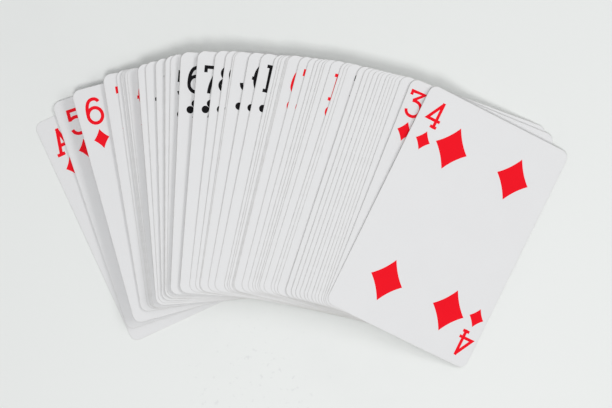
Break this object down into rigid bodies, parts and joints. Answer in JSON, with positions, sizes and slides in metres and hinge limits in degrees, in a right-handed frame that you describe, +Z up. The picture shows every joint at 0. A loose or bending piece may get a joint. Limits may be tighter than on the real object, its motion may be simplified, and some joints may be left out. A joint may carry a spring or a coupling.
{
  "type": "playing card deck",
  "caption": "Full deck of bridge-size playing cards spread face up in a leaning arc on a table, each card a separate piece that draws out lengthwise.",
  "frame": {"origin": "on the table, under the middle of the spread's outline", "axes": "+X along the spread from the bottom card to the top card, +Y towards the outer side of the arc, +Z up from the table"},
  "size_m": [0.1948, 0.1158, 0.0155],
  "materials": {
    "card": "coated white card stock with red and black print, satin"
  },
  "bodies": {
    "ace_of_diamonds": {"ace_of_diamonds": "card"},
    "five_of_diamonds": {"five_of_diamonds": "card"},
    "six_of_diamonds": {"six_of_diamonds": "card"},
    "seven_of_diamonds": {"seven_of_diamonds": "card"},
    "eight_of_diamonds": {"eight_of_diamonds": "card"},
    "nine_of_diamonds": {"nine_of_diamonds": "card"},
    "ten_of_diamonds": {"ten_of_diamonds": "card"},
    "jack_of_diamonds": {"jack_of_diamonds": "card"},
    "queen_of_diamonds": {"queen_of_diamonds": "card"},
    "king_of_diamonds": {"king_of_diamonds": "card"},
    "ace_of_clubs": {"ace_of_clubs": "card"},
    "two_of_clubs": {"two_of_clubs": "card"},
    "three_of_clubs": {"three_of_clubs": "card"},
    "four_of_clubs": {"four_of_clubs": "card"},
    "five_of_clubs": {"five_of_clubs": "card"},
    "six_of_clubs": {"six_of_clubs": "card"},
    "seven_of_clubs": {"seven_of_clubs": "card"},
    "eight_of_clubs": {"eight_of_clubs": "card"},
    "nine_of_clubs": {"nine_of_clubs": "card"},
    "ten_of_clubs": {"ten_of_clubs": "card"},
    "jack_of_clubs": {"jack_of_clubs": "card"},
    "queen_of_clubs": {"queen_of_clubs": "card"},
    "king_of_clubs": {"king_of_clubs": "card"},
    "ace_of_hearts": {"ace_of_hearts": "card"},
    "two_of_hearts": {"two_of_hearts": "card"},
    "three_of_hearts": {"three_of_hearts": "card"},
    "four_of_hearts": {"four_of_hearts": "card"},
    "five_of_hearts": {"five_of_hearts": "card"},
    "six_of_hearts": {"six_of_hearts": "card"},
    "seven_of_hearts": {"seven_of_hearts": "card"},
    "eight_of_hearts": {"eight_of_hearts": "card"},
    "nine_of_hearts": {"nine_of_hearts": "card"},
    "ten_of_hearts": {"ten_of_hearts": "card"},
    "jack_of_hearts": {"jack_of_hearts": "card"},
    "queen_of_hearts": {"queen_of_hearts": "card"},
    "king_of_hearts": {"king_of_hearts": "card"},
    "ace_of_spades": {"ace_of_spades": "card"},
    "two_of_spades": {"two_of_spades": "card"},
    "three_of_spades": {"three_of_spades": "card"},
    "four_of_spades": {"four_of_spades": "card"},
    "five_of_spades": {"five_of_spades": "card"},
    "six_of_spades": {"six_of_spades": "card"},
    "seven_of_spades": {"seven_of_spades": "card"},
    "eight_of_spades": {"eight_of_spades": "card"},
    "nine_of_spades": {"nine_of_spades": "card"},
    "ten_of_spades": {"ten_of_spades": "card"},
    "jack_of_spades": {"jack_of_spades": "card"},
    "queen_of_spades": {"queen_of_spades": "card"},
    "king_of_spades": {"king_of_spades": "card"},
    "two_of_diamonds": {"two_of_diamonds": "card"},
    "three_of_diamonds": {"three_of_diamonds": "card"},
    "four_of_diamonds": {"four_of_diamonds": "card"}
  },
  "joints": [
    {"name": "draw_five_of_diamonds", "type": "slide", "parent": "ace_of_diamonds", "child": "five_of_diamonds", "axis": [-0.3206, 0.9472, 0], "range_m": [0, 0.1]},
    {"name": "draw_six_of_diamonds", "type": "slide", "parent": "ace_of_diamonds", "child": "six_of_diamonds", "axis": [-0.2672, 0.9636, 0], "range_m": [0, 0.1]},
    {"name": "draw_seven_of_diamonds", "type": "slide", "parent": "ace_of_diamonds", "child": "seven_of_diamonds", "axis": [-0.165, 0.9863, 0], "range_m": [0, 0.1]},
    {"name": "draw_eight_of_diamonds", "type": "slide", "parent": "ace_of_diamonds", "child": "eight_of_diamonds", "axis": [-0.1357, 0.9907, 0], "range_m": [0, 0.1]},
    {"name": "draw_nine_of_diamonds", "type": "slide", "parent": "ace_of_diamonds", "child": "nine_of_diamonds", "axis": [-0.1253, 0.9921, 0], "range_m": [0, 0.1]},
    {"name": "draw_ten_of_diamonds", "type": "slide", "parent": "ace_of_diamonds", "child": "ten_of_diamonds", "axis": [-0.1219, 0.9925, 0], "range_m": [0, 0.1]},
    {"name": "draw_jack_of_diamonds", "type": "slide", "parent": "ace_of_diamonds", "child": "jack_of_diamonds", "axis": [-0.1167, 0.9932, 0], "range_m": [0, 0.1]},
    {"name": "draw_queen_of_diamonds", "type": "slide", "parent": "ace_of_diamonds", "child": "queen_of_diamonds", "axis": [-0.1115, 0.9938, 0], "range_m": [0, 0.1]},
    {"name": "draw_king_of_diamonds", "type": "slide", "parent": "ace_of_diamonds", "child": "king_of_diamonds", "axis": [-0.0802, 0.9968, 0], "range_m": [0, 0.1]},
    {"name": "draw_ace_of_clubs", "type": "slide", "parent": "ace_of_diamonds", "child": "ace_of_clubs", "axis": [-0.0576, 0.9983, 0], "range_m": [0, 0.1]},
    {"name": "draw_two_of_clubs", "type": "slide", "parent": "ace_of_diamonds", "child": "two_of_clubs", "axis": [-0.0279, 0.9996, 0], "range_m": [0, 0.1]},
    {"name": "draw_three_of_clubs", "type": "slide", "parent": "ace_of_diamonds", "child": "three_of_clubs", "axis": [-0.0035, 1, 0], "range_m": [0, 0.1]},
    {"name": "draw_four_of_clubs", "type": "slide", "parent": "ace_of_diamonds", "child": "four_of_clubs", "axis": [0, 1, 0], "range_m": [0, 0.1]},
    {"name": "draw_five_of_clubs", "type": "slide", "parent": "ace_of_diamonds", "child": "five_of_clubs", "axis": [0.0157, 0.9999, 0], "range_m": [0, 0.1]},
    {"name": "draw_six_of_clubs", "type": "slide", "parent": "ace_of_diamonds", "child": "six_of_clubs", "axis": [0.0436, 0.999, 0], "range_m": [0, 0.1]},
    {"name": "draw_seven_of_clubs", "type": "slide", "parent": "ace_of_diamonds", "child": "seven_of_clubs", "axis": [0.0767, 0.9971, 0], "range_m": [0, 0.1]},
    {"name": "draw_eight_of_clubs", "type": "slide", "parent": "ace_of_diamonds", "child": "eight_of_clubs", "axis": [0.1115, 0.9938, 0], "range_m": [0, 0.1]},
    {"name": "draw_nine_of_clubs", "type": "slide", "parent": "ace_of_diamonds", "child": "nine_of_clubs", "axis": [0.1323, 0.9912, 0], "range_m": [0, 0.1]},
    {"name": "draw_ten_of_clubs", "type": "slide", "parent": "ace_of_diamonds", "child": "ten_of_clubs", "axis": [0.1461, 0.9893, 0], "range_m": [0, 0.1]},
    {"name": "draw_jack_of_clubs", "type": "slide", "parent": "ace_of_diamonds", "child": "jack_of_clubs", "axis": [0.1495, 0.9888, 0], "range_m": [0, 0.1]},
    {"name": "draw_queen_of_clubs", "type": "slide", "parent": "ace_of_diamonds", "child": "queen_of_clubs", "axis": [0.1771, 0.9842, 0], "range_m": [0, 0.1]},
    {"name": "draw_king_of_clubs", "type": "slide", "parent": "ace_of_diamonds", "child": "king_of_clubs", "axis": [0.2011, 0.9796, 0], "range_m": [0, 0.1]},
    {"name": "draw_ace_of_hearts", "type": "slide", "parent": "ace_of_diamonds", "child": "ace_of_hearts", "axis": [0.2181, 0.9759, 0], "range_m": [0, 0.1]},
    {"name": "draw_two_of_hearts", "type": "slide", "parent": "ace_of_diamonds", "child": "two_of_hearts", "axis": [0.2233, 0.9748, 0], "range_m": [0, 0.1]},
    {"name": "draw_three_of_hearts", "type": "slide", "parent": "ace_of_diamonds", "child": "three_of_hearts", "axis": [0.2267, 0.974, 0], "range_m": [0, 0.1]},
    {"name": "draw_four_of_hearts", "type": "slide", "parent": "ace_of_diamonds", "child": "four_of_hearts", "axis": [0.2317, 0.9728, 0], "range_m": [0, 0.1]},
    {"name": "draw_five_of_hearts", "type": "slide", "parent": "ace_of_diamonds", "child": "five_of_hearts", "axis": [0.2334, 0.9724, 0], "range_m": [0, 0.1]},
    {"name": "draw_six_of_hearts", "type": "slide", "parent": "ace_of_diamonds", "child": "six_of_hearts", "axis": [0.2351, 0.972, 0], "range_m": [0, 0.1]},
    {"name": "draw_seven_of_hearts", "type": "slide", "parent": "ace_of_diamonds", "child": "seven_of_hearts", "axis": [0.2504, 0.9681, 0], "range_m": [0, 0.1]},
    {"name": "draw_eight_of_hearts", "type": "slide", "parent": "ace_of_diamonds", "child": "eight_of_hearts", "axis": [0.2622, 0.965, 0], "range_m": [0, 0.1]},
    {"name": "draw_nine_of_hearts", "type": "slide", "parent": "ace_of_diamonds", "child": "nine_of_hearts", "axis": [0.2706, 0.9627, 0], "range_m": [0, 0.1]},
    {"name": "draw_ten_of_hearts", "type": "slide", "parent": "ace_of_diamonds", "child": "ten_of_hearts", "axis": [0.2756, 0.9613, 0], "range_m": [0, 0.1]},
    {"name": "draw_jack_of_hearts", "type": "slide", "parent": "ace_of_diamonds", "child": "jack_of_hearts", "axis": [0.2807, 0.9598, 0], "range_m": [0, 0.1]},
    {"name": "draw_queen_of_hearts", "type": "slide", "parent": "ace_of_diamonds", "child": "queen_of_hearts", "axis": [0.284, 0.9588, 0], "range_m": [0, 0.1]},
    {"name": "draw_king_of_hearts", "type": "slide", "parent": "ace_of_diamonds", "child": "king_of_hearts", "axis": [0.2924, 0.9563, 0], "range_m": [0, 0.1]},
    {"name": "draw_ace_of_spades", "type": "slide", "parent": "ace_of_diamonds", "child": "ace_of_spades", "axis": [0.3057, 0.9521, 0], "range_m": [0, 0.1]},
    {"name": "draw_two_of_spades", "type": "slide", "parent": "ace_of_diamonds", "child": "two_of_spades", "axis": [0.3057, 0.9521, 0], "range_m": [0, 0.1]},
    {"name": "draw_three_of_spades", "type": "slide", "parent": "ace_of_diamonds", "child": "three_of_spades", "axis": [0.3057, 0.9521, 0], "range_m": [0, 0.1]},
    {"name": "draw_four_of_spades", "type": "slide", "parent": "ace_of_diamonds", "child": "four_of_spades", "axis": [0.314, 0.9494, 0], "range_m": [0, 0.1]},
    {"name": "draw_five_of_spades", "type": "slide", "parent": "ace_of_diamonds", "child": "five_of_spades", "axis": [0.3173, 0.9483, 0], "range_m": [0, 0.1]},
    {"name": "draw_six_of_spades", "type": "slide", "parent": "ace_of_diamonds", "child": "six_of_spades", "axis": [0.319, 0.9478, 0], "range_m": [0, 0.1]},
    {"name": "draw_seven_of_spades", "type": "slide", "parent": "ace_of_diamonds", "child": "seven_of_spades", "axis": [0.3206, 0.9472, 0], "range_m": [0, 0.1]},
    {"name": "draw_eight_of_spades", "type": "slide", "parent": "ace_of_diamonds", "child": "eight_of_spades", "axis": [0.3223, 0.9466, 0], "range_m": [0, 0.1]},
    {"name": "draw_nine_of_spades", "type": "slide", "parent": "ace_of_diamonds", "child": "nine_of_spades", "axis": [0.3223, 0.9466, 0], "range_m": [0, 0.1]},
    {"name": "draw_ten_of_spades", "type": "slide", "parent": "ace_of_diamonds", "child": "ten_of_spades", "axis": [0.3239, 0.9461, 0], "range_m": [0, 0.1]},
    {"name": "draw_jack_of_spades", "type": "slide", "parent": "ace_of_diamonds", "child": "jack_of_spades", "axis": [0.3239, 0.9461, 0], "range_m": [0, 0.1]},
    {"name": "draw_queen_of_spades", "type": "slide", "parent": "ace_of_diamonds", "child": "queen_of_spades", "axis": [0.3239, 0.9461, 0], "range_m": [0, 0.1]},
    {"name": "draw_king_of_spades", "type": "slide", "parent": "ace_of_diamonds", "child": "king_of_spades", "axis": [0.3239, 0.9461, 0], "range_m": [0, 0.1]},
    {"name": "draw_two_of_diamonds", "type": "slide", "parent": "ace_of_diamonds", "child": "two_of_diamonds", "axis": [0.3338, 0.9426, 0], "range_m": [0, 0.1]},
    {"name": "draw_three_of_diamonds", "type": "slide", "parent": "ace_of_diamonds", "child": "three_of_diamonds", "axis": [0.3681, 0.9298, 0], "range_m": [0, 0.1]},
    {"name": "draw_four_of_diamonds", "type": "slide", "parent": "ace_of_diamonds", "child": "four_of_diamonds", "axis": [0.4415, 0.8973, 0], "range_m": [0, 0.1]}
  ]
}
